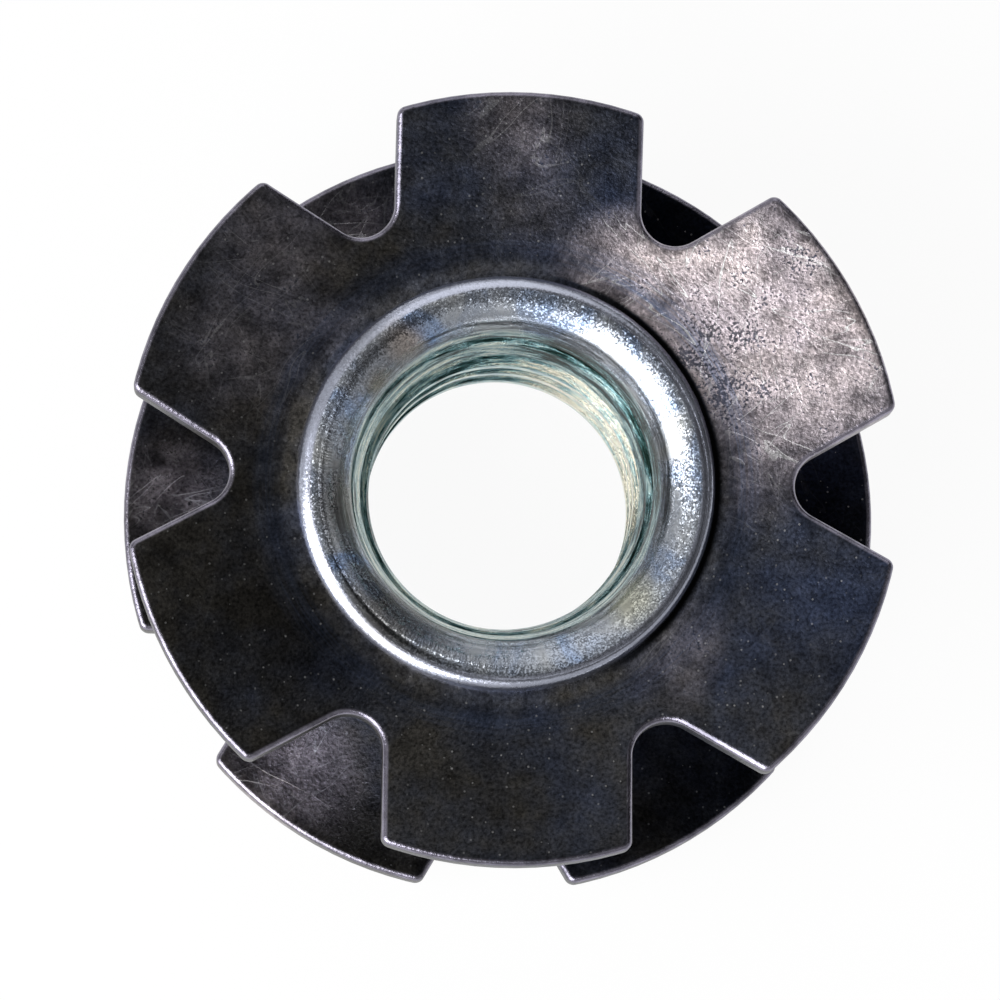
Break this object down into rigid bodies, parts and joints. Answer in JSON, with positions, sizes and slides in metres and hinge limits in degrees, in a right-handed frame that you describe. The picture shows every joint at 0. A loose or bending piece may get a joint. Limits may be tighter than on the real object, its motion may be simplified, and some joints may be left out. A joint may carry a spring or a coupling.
{
  "type": "star nut",
  "caption": "Press-in star nut for a round tube: a threaded barrel riveted through two dished spring steel stars with notched rims.",
  "frame": {"origin": "centre of the circle that the lower rolled lip stands on, on the axis of the bore", "axes": "+Z along the bore, towards the hollow side of the stars and the open end of the tube; +Y through the middle of a fang of the upper star"},
  "size_m": [0.0244, 0.0244, 0.0115],
  "materials": {
    "zinc_plated_steel": "bright zinc plating with a thin blue passivation, matte where the end was rolled over",
    "blackened_spring_steel": "hardened and blackened spring steel, oiled, with rubbed and scratched patches"
  },
  "bodies": {
    "root": {"barrel": "zinc_plated_steel", "upper_star": "blackened_spring_steel", "lower_star": "blackened_spring_steel"}
  },
  "joints": []
}
